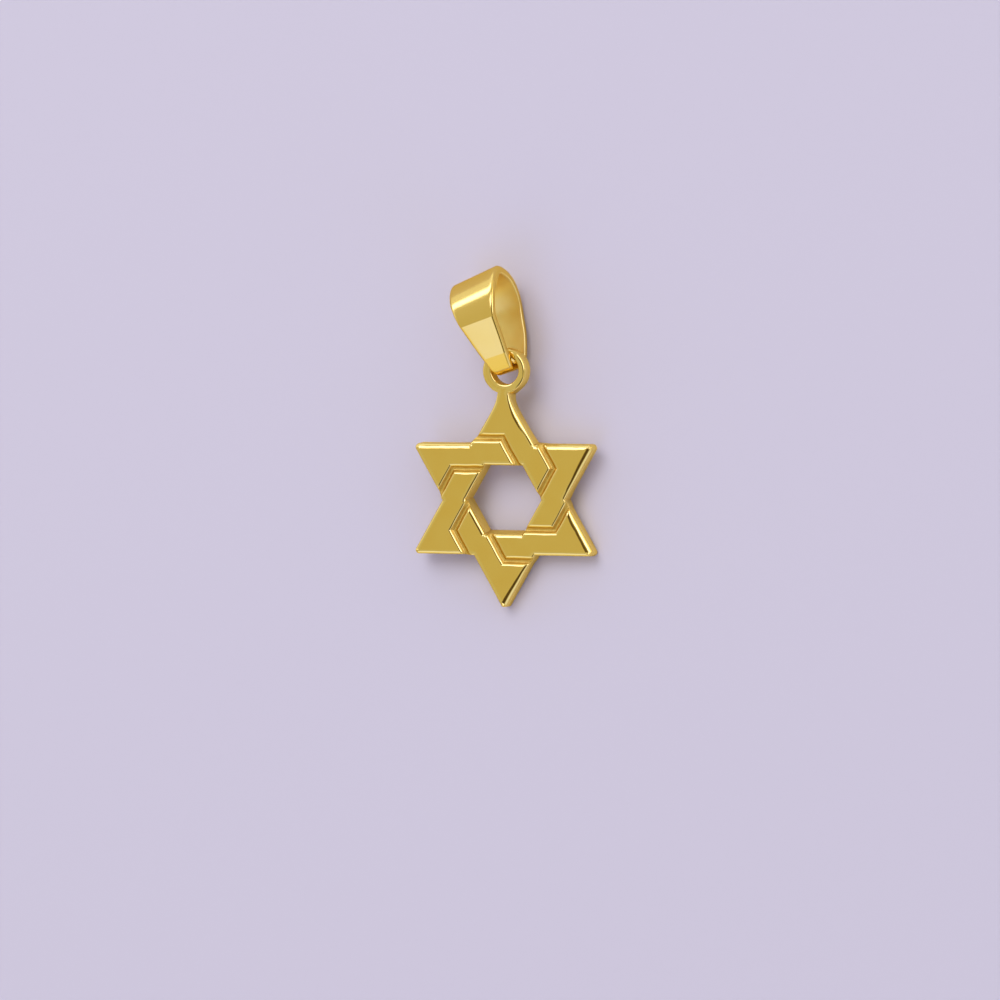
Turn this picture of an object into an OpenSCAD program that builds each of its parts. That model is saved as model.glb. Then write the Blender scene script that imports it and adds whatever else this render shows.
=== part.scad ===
// Star of David pendant: a flat six-pointed star with a woven face, an eye cast on its top tip, and a
// tapered strap bail whose narrow foot passes through the eye. It lies on its back, face up, with the
// bail towards +Y. The bail's back and two tips of the star touch the surface at z = 0.

/* [Star] */
// Distance from the star's centre to the corner where the two sides of a tip meet
star_radius = 8.16; // [7:0.02:12]
// Thickness of the star and its eye, from the back to the face
plate_thickness = 1.28; // [0.9:0.02:1.8]
// Width of each strand, from the star's outline to the window in its middle
strand_width = 1.59; // [1.2:0.01:2]
// How far each side of the window leans in from the face to the back
window_draft = 0.2; // [0.1:0.01:0.3]
// Radius that each tip is rounded to
tip_radius = 0.25; // [0.1:0.01:0.35]

/* [Weave] */
// Width of the grooves that part one strand from the next
groove_width = 0.45; // [0.3:0.01:0.6]
// Depth of the grooves below the face
groove_depth = 0.42; // [0.2:0.01:0.7]
// How far outside a strand's outer line the groove that crosses a tip runs
cross_lead = 0.42; // [0.3:0.01:0.6]
// How far inside a strand's inner line the groove along it runs
side_lead = 0.3; // [0.2:0.01:0.4]

/* [Eye] */
// Diameter of the eye ring's outside
eye_outer = 3.28; // [3:0.02:3.8]
// Diameter of the hole in the eye
eye_bore = 2.28; // [2:0.02:2.4]
// How far the eye ring reaches down past the corner of the top tip
eye_sink = 0.38; // [0.25:0.01:0.5]
// How far the eye's centre is off the star's middle line
eye_offset = 0.07; // [0:0.01:0.1]
// Width of the neck between the top tip and the eye
neck_width = 1.04; // [0.8:0.01:1.2]

/* [Bail] */
// Length of the loop from its foot to its crown
bail_height = 7.65; // [7:0.05:9]
// Width of the strap over the crown
bail_width = 3.58; // [3:0.02:4.4]
// Thickness of the strap
strap = 0.5; // [0.4:0.01:0.6]
// Radius of the crown's outside
crown_radius = 1.3; // [1:0.05:1.6]
// Height of the crease across the front, where the flat facet begins
crease_height = 4.2; // [3.8:0.05:4.6]
// Height of the lower fold, where the front turns in towards the eye
fold_height = 1.45; // [1.3:0.05:1.7]
// Height of the widest place on the back
belly_height = 4.1; // [3.7:0.05:4.5]
// How far the front swells from the toe out to the lower fold
fold_swell = 0.29; // [0.2:0.01:0.4]
// How far the front swells from the lower fold out to the crease
crease_swell = 0.98; // [0.7:0.02:1.2]
// How far the back swells from the heel out to its widest place
belly_swell = 0.8; // [0.6:0.02:1]
// Radius of the toe, where the front bends under
toe_radius = 1; // [0.8:0.05:1.15]
// Radius of the heel, where the back bends under
heel_radius = 1.2; // [1:0.05:1.3]

/* [Fit of the bail in the eye] */
// Space between each edge of the strap's foot and the side of the hole
foot_clearance = 0.4; // [0.3:0.01:0.5]
// Space between the toe's inside and the face of the eye
toe_clearance = 0.04; // [0.02:0.01:0.2]
// Space between the heel's inside and the back of the eye
heel_clearance = 0.91; // [0.7:0.01:1.1]
// Height of the hole's crown above the inside of the strap's foot
seat_gap = 0.788; // [0.77:0.001:0.82]
// How far the foot sits to the right of the eye's centre
foot_shift = 0.19; // [0.15:0.01:0.25]
// How far the foot sits in front of the middle of the eye's thickness
foot_advance = 0.035; // [0:0.005:0.06]
// Angle that the bail leans to the left
lean = 18.2; // [14:0.1:20]
// Angle that the bail's right edge is raised
roll = 6.6; // [2:0.1:7]
// Angle that the bail's crown is raised
pitch = 3.1; // [2:0.1:5]

/* [Hidden] */
// Steps in a full circle, and in each arc of the loop
ROUND = 96;
ARC_STEPS = 14;
// Angle between neighbouring tips, and half of it
TIP_STEP = 60;
TIP_HALF = TIP_STEP / 2;
// Room that every cutter is given past the surface that it cuts
RUNOUT = 1;
// How far a groove runs past the window's corner at the level of its floor
CORNER_RUN = 0.05;

// Star
side_line = star_radius / 2;
window_line = side_line - strand_width;
window_corner = window_line / cos(TIP_HALF);
// How much the distance to the window's corner falls for each millimetre down from the face
window_taper = window_draft / cos(TIP_HALF) / plate_thickness;
tip_centre = star_radius - tip_radius / sin(TIP_HALF);
tip_contact = tip_radius / tan(TIP_HALF);
eye_y = star_radius + eye_outer / 2 - eye_sink;
// The neck ends in the middle of the ring's metal
neck_top = eye_y - (eye_outer + eye_bore) / 4;

// Weave
cross_line = side_line + cross_lead;
along_line = window_line - side_lead;
groove_end = CORNER_RUN + window_taper * groove_depth - window_line * tan(TIP_HALF);

// Bail: its own axes are X across the strap, Y up the loop and Z out of the front
foot_width = eye_bore - 2 * foot_clearance;
toe_depth = plate_thickness / 2 + strap + toe_clearance;
fold_depth = toe_depth + fold_swell;
crease_depth = fold_depth + crease_swell;
heel_depth = plate_thickness / 2 + strap + heel_clearance;
belly_depth = heel_depth + belly_swell;
crown_y = bail_height - crown_radius;
front_radius = side_radius(crease_depth, crease_height);
back_radius = side_radius(belly_depth, belly_height);
front_sweep = side_sweep(crease_depth, crease_height);
back_sweep = side_sweep(belly_depth, belly_height);
facet_angle = atan2(crease_depth - fold_depth, crease_height - fold_height);
toe_angle = touch_angle(toe_depth, toe_radius, fold_depth, fold_height);
heel_angle = touch_angle(heel_depth, heel_radius, belly_depth, belly_height);
// The strap's taper: height as a share of the loop's length, and width as a share of the way from the
// foot's width to the crown's
TAPER = [[0, 0], [0.18, 0.24], [0.34, 0.45], [0.55, 0.665], [0.68, 0.855], [0.81, 0.97], [0.92, 1], [1, 1]];
// Foot of the bail in the star's frame
foot = [eye_offset + foot_shift,
        eye_y + eye_bore / 2 - seat_gap - strap,
        foot_advance - plate_thickness / 2];

// Rest attitude: the star is tilted about the line through two of its tips until the bail's back
// comes down to the same level
HINGE = -TIP_STEP;
hinge_line = tip_centre * cos(TIP_HALF) + tip_radius;
rest_tilt = max([for (p = bail_rim()) hang_angle(p)]);
rest_points = concat([for (p = bail_rim()) to_rest(p)], [for (p = star_rim()) to_rest(p)]);
rest_centre = [middle([for (p = rest_points) p.x]), middle([for (p = rest_points) p.y])];

// Where a line at distance d from the centre, its normal at TIP_HALF, meets the height y
function meet(d, y) = [(d - y * sin(TIP_HALF)) / cos(TIP_HALF), y];

// Radius of the arc that leaves (d, h) straight up and ends along the crown's circle
function side_radius(d, h) =
    (pow(crown_radius, 2) - d * d - pow(crown_y - h, 2)) / (2 * (crown_radius - d));

// Angle that this arc sweeps through
function side_sweep(d, h) = atan2(crown_y - h, side_radius(d, h) - d);

// Slope angle of the line from (d, h) that touches a foot circle of radius r reaching out to depth
function touch_angle(depth, r, d, h) =
    acos(r / norm([d - depth + r, h - r])) - atan2(h - r, d - depth + r);

// Angle at which such an arc begins once both sides of its lower corner are moved in by the inset
function arc_start(radius, slope, inset) = asin(inset * tan(slope / 2) / (radius - inset));

// Lower fold, moved in by the inset along both of its sides
function fold_in(inset) =
    let (half = (facet_angle + toe_angle) / 2)
    [fold_depth, fold_height] + inset / cos((toe_angle - facet_angle) / 2) * [-cos(half), sin(half)];

// Points along an arc, leaving out the first and last when ends is false
function arc(centre, radius, from, to, ends = true) =
    [for (i = [ends ? 0 : 1 : ends ? ARC_STEPS : ARC_STEPS - 1])
        let (a = from + (to - from) * i / ARC_STEPS)
        centre + radius * [cos(a), sin(a)]];

// Outline of the loop seen from its side, up the front and down the back: X is depth, out of the
// front, and Y is height
function loop_points(inset) = concat(
    arc([toe_depth - toe_radius, toe_radius], toe_radius - inset, -90, -toe_angle),
    [fold_in(inset)],
    arc([crease_depth - front_radius, crease_height], front_radius - inset,
        arc_start(front_radius, facet_angle, inset), front_sweep),
    arc([0, crown_y], crown_radius - inset, front_sweep, 180 - back_sweep, false),
    arc([back_radius - belly_depth, belly_height], back_radius - inset,
        180 - back_sweep, 180 - arc_start(back_radius, heel_angle, inset)),
    arc([heel_radius - heel_depth, heel_radius], heel_radius - inset, 180 + heel_angle, 270)
);

// Width of the strap at a height on the loop
function strap_width(h) = foot_width + (bail_width - foot_width) * lookup(h / bail_height, TAPER);

// A point of the bail in the star's frame
function from_bail(p) =
    let (a = [p.x, p.y * cos(pitch) - p.z * sin(pitch), p.y * sin(pitch) + p.z * cos(pitch)],
         b = [a.x * cos(roll) - a.z * sin(roll), a.y, a.x * sin(roll) + a.z * cos(roll)])
    foot + [b.x * cos(lean) - b.y * sin(lean), b.x * sin(lean) + b.y * cos(lean), b.z];

// Points along the bail's two outer edges
function bail_rim() =
    [for (p = loop_points(0)) for (s = [-1, 1]) from_bail([s * strap_width(p.y) / 2, p.y, p.x])];

// Points round the star's tips, on the back and on the face
function star_rim() =
    [for (i = [0 : 5]) for (a = [-TIP_STEP : 10 : TIP_STEP]) for (z = [-plate_thickness, 0])
        let (t = 90 + i * TIP_STEP)
        [tip_centre * cos(t) + tip_radius * cos(t + a), tip_centre * sin(t) + tip_radius * sin(t + a), z]];

// Distance of a point from the hinge line, towards the bail
function reach(p) = hinge_line - p.x * cos(HINGE) - p.y * sin(HINGE);

// Angle of a point below the star's back, seen from the hinge line
function hang_angle(p) = atan2(-plate_thickness - p.z, reach(p));

// A point of the star's frame on the surface that it rests on
function to_rest(p) =
    let (r = reach(p), z = p.z + plate_thickness)
    [p.x, p.y] + (r - r * cos(rest_tilt) + z * sin(rest_tilt)) * [cos(HINGE), sin(HINGE)];

function middle(v) = (min(v) + max(v)) / 2;

// Triangle with rounded corners and one tip towards +Y
module rounded_triangle() {
    polygon([for (i = [0 : 2]) for (s = [-1, 1])
        let (t = 90 + i * 2 * TIP_STEP, back = t + 180 - s * TIP_HALF)
        [star_radius * cos(t) + tip_contact * cos(back), star_radius * sin(t) + tip_contact * sin(back)]]);
    for (i = [0 : 2])
        rotate(i * 2 * TIP_STEP) translate([0, tip_centre]) circle(tip_radius, $fn = ROUND);
}

// Groove that crosses one tip from its left side, bends, and follows the strand down to the window
module weave_groove() {
    half = groove_width / 2;
    // End of the groove, square to its line, just past the window's corner
    past = [groove_end * sin(TIP_HALF), -groove_end * cos(TIP_HALF)];
    across = [cos(TIP_HALF), sin(TIP_HALF)];
    translate([0, 0, -groove_depth]) linear_extrude(groove_depth + RUNOUT)
        polygon([
            [-side_line - RUNOUT, cross_line + half],
            meet(along_line + half, cross_line + half),
            past + (along_line + half) * across,
            past + (along_line - half) * across,
            meet(along_line - half, cross_line - half),
            [-side_line - RUNOUT, cross_line - half]
        ]);
}

// Star, neck and eye in the star's frame: the face is at z = 0
module star_body() {
    difference() {
        translate([0, 0, -plate_thickness]) linear_extrude(plate_thickness) union() {
            rounded_triangle();
            rotate(180) rounded_triangle();
            translate([-neck_width / 2, side_line]) square([neck_width, neck_top - side_line]);
            translate([eye_offset, eye_y]) circle(eye_outer / 2, $fn = ROUND);
        }
        translate([0, 0, -plate_thickness - RUNOUT])
            cylinder(h = plate_thickness + 2 * RUNOUT, $fn = 6,
                     r1 = window_corner - window_taper * (plate_thickness + RUNOUT),
                     r2 = window_corner + window_taper * RUNOUT);
        translate([eye_offset, eye_y, -plate_thickness - RUNOUT])
            cylinder(h = plate_thickness + 2 * RUNOUT, r = eye_bore / 2, $fn = ROUND);
        for (i = [0 : 5]) rotate(i * TIP_STEP) weave_groove();
    }
}

// Closed strap loop on the bail's own axes
module bail_body() {
    deep = 2 * (belly_depth + RUNOUT);
    intersection() {
        rotate([0, -90, 0]) linear_extrude(bail_width + 2 * RUNOUT, center = true) difference() {
            polygon(loop_points(0));
            polygon(loop_points(strap));
        }
        translate([0, 0, -deep / 2]) linear_extrude(deep)
            polygon(concat(
                [[-strap_width(0) / 2, -RUNOUT], [strap_width(0) / 2, -RUNOUT]],
                [for (t = TAPER) [strap_width(t[0] * bail_height) / 2, t[0] * bail_height]],
                [[bail_width / 2, bail_height + RUNOUT], [-bail_width / 2, bail_height + RUNOUT]],
                [for (i = [len(TAPER) - 1 : -1 : 0])
                    [-strap_width(TAPER[i][0] * bail_height) / 2, TAPER[i][0] * bail_height]]
            ));
    }
}

// Lays what is in the star's frame on the surface, centred on the origin
module at_rest() {
    translate([-rest_centre.x, -rest_centre.y, 0])
        translate([hinge_line * cos(HINGE), hinge_line * sin(HINGE), 0])
            rotate(a = rest_tilt, v = [-sin(HINGE), cos(HINGE), 0])
                translate([-hinge_line * cos(HINGE), -hinge_line * sin(HINGE), plate_thickness])
                    children();
}

module star() {
    color("#c0a349") at_rest() star_body();
}

module bail() {
    color("#d9bd63") at_rest()
        translate(foot) rotate([0, 0, lean]) rotate([0, -roll, 0]) rotate([pitch, 0, 0]) bail_body();
}

star();
bail();
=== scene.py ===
import logging
import math
from collections.abc import Callable
from dataclasses import dataclass, field
from enum import Enum

import bpy
import numpy as np
from mathutils import Matrix, Vector
from mathutils.geometry import delaunay_2d_cdt


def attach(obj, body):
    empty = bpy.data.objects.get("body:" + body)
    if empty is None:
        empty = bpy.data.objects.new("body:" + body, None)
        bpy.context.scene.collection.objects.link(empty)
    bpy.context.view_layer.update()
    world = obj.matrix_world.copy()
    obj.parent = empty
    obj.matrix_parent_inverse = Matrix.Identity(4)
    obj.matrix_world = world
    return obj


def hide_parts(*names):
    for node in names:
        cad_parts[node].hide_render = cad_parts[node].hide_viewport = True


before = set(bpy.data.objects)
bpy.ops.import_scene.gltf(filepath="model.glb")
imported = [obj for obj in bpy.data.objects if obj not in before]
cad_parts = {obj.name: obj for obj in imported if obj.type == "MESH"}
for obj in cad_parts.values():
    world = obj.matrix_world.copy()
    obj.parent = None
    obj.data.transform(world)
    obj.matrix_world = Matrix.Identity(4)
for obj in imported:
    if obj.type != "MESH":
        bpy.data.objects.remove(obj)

LOG = logging.getLogger("pendant")
MM = 0.001
MICRON = 0.001 * MM
# The star's lines lie at 30 degrees to its axes
COS30, SIN30, TAN30 = (turn(math.radians(30)) for turn in (math.cos, math.sin, math.tan))
# Points worked on at a time, and the shortest rise that a line is taken to have
CHUNK, TINY = 20000, 1e-12


# Colour and node helpers

def linear(hex_colour: str) -> tuple[float, float, float, float]:
    """Turns an sRGB hex colour into the linear values that shaders take.

    Args:
        hex_colour: Six hex digits, such as "c0a349".

    Returns:
        Linear red, green and blue, and an alpha of 1.
    """
    parts = [int(hex_colour[i:i + 2], 16) / 255 for i in (0, 2, 4)]
    low = [c / 12.92 if c <= 0.04045 else ((c + 0.055) / 1.055) ** 2.4 for c in parts]
    return (low[0], low[1], low[2], 1.0)


def add_node(tree: bpy.types.NodeTree, kind: str, settings: dict | None = None,
             links: dict | None = None) -> bpy.types.Node:
    """Adds one node with its settings and its incoming links.

    Args:
        tree: Node tree that the node goes into.
        kind: Blender's name of the node type.
        settings: Attribute names, or input names or numbers after "in:", with their values.
        links: Input names or numbers with the output sockets that feed them.

    Returns:
        The new node.
    """
    node = tree.nodes.new(kind)
    for key, value in (settings or {}).items():
        if key.startswith("in:"):
            name = key[3:]
            node.inputs[int(name) if name.isdigit() else name].default_value = value
        else:
            setattr(node, key, value)
    for name, socket in (links or {}).items():
        tree.links.new(socket, node.inputs[name])
    return node


# Finishes

class PlateSurface(Enum):
    """Which of the star's surfaces a face belongs to; the value is the mesh's material index."""
    BUFFED = 0
    BURNISHED_PAINTED_HIGHLIGHT = 1
    AS_CAST_PAINTED_SHADE = 2
    FILED_PAINTED_LIGHT = 3


class StrapSurface(Enum):
    """Which of the bail's surfaces a face belongs to; the value is the mesh's material index."""
    ROLLED = 0
    MILLED_PAINTED_LIGHT = 1


@dataclass(frozen=True)
class YellowGold:
    """Yellow gold of 14 to 18 carat, cast or rolled and then finished by hand.

    Gold shows only what it mirrors, tinted yellow, so the finishes differ in how sharp the mirror is
    and in the waves and the grain that the tools left in it. The lighter tints of the edges, sides and
    inside are painted light, and the darker tint of the grooves is painted shade. A surface's tint and
    haze drift between the noise values in the two spans.
    """
    name: str
    tint: str
    roughness: float
    wave_mm: float
    wave_height_um: float
    grain_mm: float
    grain_height_um: float
    worn_tint: str
    worn_share: float
    slant_tint: str = "ffe9b0"
    tint_span: tuple[float, float] = (0.35, 0.75)
    haze_span: tuple[float, float] = (0.3, 0.8)
    haze_shares: tuple[float, float] = (0.8, 1.3)

    def material(self) -> bpy.types.Material:
        """Builds the shader.

        Returns:
            A metallic material with long polishing waves, fine grain and a slow change of tint.
        """
        mat = bpy.data.materials.new(self.name)
        mat.use_nodes = True
        tree = mat.node_tree
        tree.nodes.clear()
        where = add_node(tree, "ShaderNodeTexCoord").outputs["Object"]
        # Waves of a millimetre or so, left by the buffing wheel: they bend the mirrored edges
        wave = add_node(tree, "ShaderNodeTexNoise",
                        {"in:Scale": 1 / (self.wave_mm * MM), "in:Detail": 1.0, "in:Roughness": 0.4},
                        {"Vector": where})
        # Grain: polishing scratches where it is fine, the skin of the casting where it is coarse
        grain = add_node(tree, "ShaderNodeTexNoise",
                         {"in:Scale": 1 / (self.grain_mm * MM), "in:Detail": 4.0, "in:Roughness": 0.6},
                         {"Vector": where})
        bump_wave = add_node(tree, "ShaderNodeBump",
                             {"in:Strength": 1.0, "in:Distance": self.wave_height_um * MICRON},
                             {"Height": wave.outputs["Fac"]})
        bump = add_node(tree, "ShaderNodeBump",
                        {"in:Strength": 1.0, "in:Distance": self.grain_height_um * MICRON},
                        {"Height": grain.outputs["Fac"], "Normal": bump_wave.outputs["Normal"]})
        # The tint drifts a little where the skin is more or less worn
        patch = add_node(tree, "ShaderNodeMapRange",
                         {"in:From Min": self.tint_span[0], "in:From Max": self.tint_span[1],
                          "in:To Min": 0.0, "in:To Max": self.worn_share},
                         {"Value": wave.outputs["Fac"]})
        tint = add_node(tree, "ShaderNodeMix",
                        {"data_type": "RGBA", "in:6": linear(self.tint), "in:7": linear(self.worn_tint)},
                        {"Factor": patch.outputs["Result"]})
        haze = add_node(tree, "ShaderNodeMapRange",
                        {"in:From Min": self.haze_span[0], "in:From Max": self.haze_span[1],
                         "in:To Min": self.roughness * self.haze_shares[0],
                         "in:To Max": self.roughness * self.haze_shares[1]},
                        {"Value": grain.outputs["Fac"]})
        # What gold mirrors at a slant stays warm, so that tint isn't white
        shader = add_node(tree, "ShaderNodeBsdfPrincipled",
                          {"in:Metallic": 1.0, "in:Specular Tint": linear(self.slant_tint)},
                          {"Base Color": tint.outputs[2], "Roughness": haze.outputs["Result"],
                           "Normal": bump.outputs["Normal"]})
        add_node(tree, "ShaderNodeOutputMaterial", {}, {"Surface": shader.outputs["BSDF"]})
        return mat


# Buffed on a wheel: a near mirror with faint waves, so the flat face reads as one even tone
BUFFED_FACE = YellowGold(
    "buffed gold face", tint="f4cf60", roughness=0.12, wave_mm=1.6, wave_height_um=2.0,
    grain_mm=0.05, grain_height_um=0.2, worn_tint="f2ca58", worn_share=0.7)
# Edges rubbed round and bright by the wheel: the sharpest mirror on the piece, with a paler tint that
# is painted highlight
BURNISHED_EDGE_PAINTED_HIGHLIGHT = YellowGold(
    "burnished gold edge, painted highlight", tint="f6d670", roughness=0.10, wave_mm=1.3, wave_height_um=1.0,
    grain_mm=0.06, grain_height_um=0.15, worn_tint="f4d066", worn_share=0.5)
# Groove floors keep the rough skin of the casting; their darker, more orange tint is painted shade
# of the recess, where the gold mirrors itself
CAST_GROOVE_PAINTED_SHADE = YellowGold(
    "as-cast gold groove, painted shade", tint="e2bc50", roughness=0.46, wave_mm=0.45, wave_height_um=5.0,
    grain_mm=0.10, grain_height_um=5.0, worn_tint="d6ac46", worn_share=0.8)
# Sides are filed and only lightly buffed, which gives a soft satin sheen; their tint, lighter than
# the face's, is painted light
FILED_SIDE_PAINTED_LIGHT = YellowGold(
    "filed gold side, painted light", tint="f8dc78", roughness=0.42, wave_mm=1.2, wave_height_um=2.5,
    grain_mm=0.06, grain_height_um=0.6, worn_tint="f2d070", worn_share=0.5)
# Strap rolled from sheet and buffed before it was bent: a clean mirror with long waves
ROLLED_STRAP = YellowGold(
    "rolled gold strap", tint="f5d168", roughness=0.13, wave_mm=2.2, wave_height_um=3.0,
    grain_mm=0.05, grain_height_um=0.2, worn_tint="f3cc5e", worn_share=0.6)
# The wheel never reaches the inside of the strap, which stays satin from the rolling mill; its
# lighter tint is painted light
MILLED_INSIDE_PAINTED_LIGHT = YellowGold(
    "milled gold inside, painted light", tint="ffe684", roughness=0.44, wave_mm=1.1, wave_height_um=6.0,
    grain_mm=0.05, grain_height_um=1.5, worn_tint="fbd970", worn_share=0.7)


# Shapes

def wander(points: np.ndarray, period: float, seed: int) -> np.ndarray:
    """Smooth hand-made unevenness.

    Args:
        points: Plan positions in millimetres, one a row.
        period: Length of one swell in millimetres.
        seed: Number that picks the pattern.

    Returns:
        Values between about -1 and 1, one for each point.
    """
    swells, shortest, longest, highest = 4, 0.7, 1.5, 2.4
    rng = np.random.default_rng(seed)
    total = np.zeros(len(points))
    for _ in range(swells):
        turn, phase = rng.uniform(0, 2 * math.pi), rng.uniform(0, 2 * math.pi)
        stretch = rng.uniform(shortest, longest)
        along = points[:, 0] * math.cos(turn) + points[:, 1] * math.sin(turn)
        total += np.sin(along * 2 * math.pi / (period * stretch) + phase)
    return total / highest


def tilt_profile(places: list[tuple[float, float]], steps: int = 400) -> tuple[np.ndarray, np.ndarray]:
    """Turns the tilts along a cross-section into its heights.

    Args:
        places: Positions across the section, rising, each with the surface's tilt there in degrees.
        steps: Number of steps to add up.

    Returns:
        Positions, and how far the surface has risen from the first of them.
    """
    across = np.linspace(places[0][0], places[-1][0], steps)
    tilt = np.interp(across, [p[0] for p in places], [p[1] for p in places])
    steps_up = np.tan(np.radians((tilt[1:] + tilt[:-1]) / 2)) * np.diff(across)
    return across, np.concatenate([[0], np.cumsum(steps_up)])


# Rolled edge that a buffing wheel leaves, as shares of its width from the outline in to the face: it
# turns over quickly at the outline, runs as a soft bevel, and eases slowly into the face
BUFFED_ROLL = tilt_profile([(0.0, 78), (0.05, 62), (0.14, 48), (0.28, 38), (0.42, 29), (0.6, 21),
                            (0.8, 14), (0.93, 7), (1.0, 0)])
# Flank of a groove, as shares of its half width from the face down to its middle: a lip rubbed round,
# a steep lower part and a narrow rounded bottom
GROOVE_FLANK = [(-1, 0), (-0.94, 8), (-0.84, 18), (-0.66, 38), (-0.52, 50), (-0.34, 50), (-0.18, 25),
                (-0.08, 5), (0, 0)]


def rolled_edge(distance: np.ndarray, width: np.ndarray) -> np.ndarray:
    """Height of a rolled edge below the face.

    Args:
        distance: Distance in from the outline, in millimetres.
        width: Width of the roll.

    Returns:
        Heights at or below zero.
    """
    across, rise = BUFFED_ROLL
    return (np.interp(distance / width, across, rise) - rise[-1]) * width


def arc_points(centre: tuple[float, float], radius: float, start: float, end: float,
               step: float) -> np.ndarray:
    """Points along an arc, given in degrees.

    Args:
        centre: Centre of the arc.
        radius: Its radius.
        start: Angle that it starts at.
        end: Angle that it ends at.
        step: Longest distance between neighbouring points.

    Returns:
        The points, one a row, with both ends.
    """
    count = max(2, math.ceil(abs(math.radians(end - start)) * radius / step) + 1)
    turn = np.radians(np.linspace(start, end, count))
    return np.array(centre) + radius * np.column_stack([np.cos(turn), np.sin(turn)])


def turned(points: np.ndarray, degrees: float) -> np.ndarray:
    """Turns plan points anticlockwise about the centre.

    Args:
        points: One point, or several with one a row.
        degrees: Angle to turn them by.

    Returns:
        The turned points, arranged as they came.
    """
    c, s = math.cos(math.radians(degrees)), math.sin(math.radians(degrees))
    x, y = points[..., 0], points[..., 1]
    return np.stack([x * c - y * s, x * s + y * c], axis=-1)


def stepped(start: np.ndarray, end: np.ndarray, step: float) -> list[np.ndarray]:
    """Points from a start towards an end, without the end.

    Args:
        start: First point.
        end: Point that the steps lead to.
        step: Longest step.

    Returns:
        The points, equally far apart.
    """
    count = max(1, math.ceil(np.linalg.norm(end - start) / step))
    return [start + (end - start) * k / count for k in range(count)]


def right_of(start: np.ndarray, end: np.ndarray) -> np.ndarray:
    """Unit directions to the right of the way from each start to its end."""
    ahead = (end - start) / np.linalg.norm(end - start, axis=-1, keepdims=True)
    return np.stack([ahead[..., 1], -ahead[..., 0]], axis=-1)


def in_chunks(work: Callable[[np.ndarray], np.ndarray], points: np.ndarray) -> np.ndarray:
    """Hands the points on some at a time, which spares memory, and joins what comes back."""
    return np.concatenate([work(points[low:low + CHUNK]) for low in range(0, len(points), CHUNK)])


def mesh_object(name: str, points: np.ndarray, faces: list, surfaces: list[int],
                normals: np.ndarray | None, finishes: list[YellowGold]) -> bpy.types.Object:
    """Makes a smooth mesh object from world points in millimetres.

    Args:
        name: Name of the piece.
        points: Vertex positions, one a row.
        faces: Vertex numbers of each face.
        surfaces: Material index of each face.
        normals: A normal for each corner of each face in order, or None for plain smooth shading.
        finishes: The finishes, in the order of their material indices.

    Returns:
        The object, linked to the scene.
    """
    mesh = bpy.data.meshes.new(name)
    mesh.from_pydata((points * MM).tolist(), [], faces)
    for finish in finishes:
        mesh.materials.append(finish.material())
    mesh.polygons.foreach_set("material_index", surfaces)
    mesh.polygons.foreach_set("use_smooth", [True] * len(mesh.polygons))
    mesh.update()
    if normals is not None:
        mesh.normals_split_custom_set(normals.tolist())
    obj = bpy.data.objects.new(name, mesh)
    bpy.context.scene.collection.objects.link(obj)
    return obj


class Rim(Enum):
    """The outlines of the star plate, which its rolled edges follow."""
    OUTER = "outer"
    WINDOW = "window"
    BORE = "bore"


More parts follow.
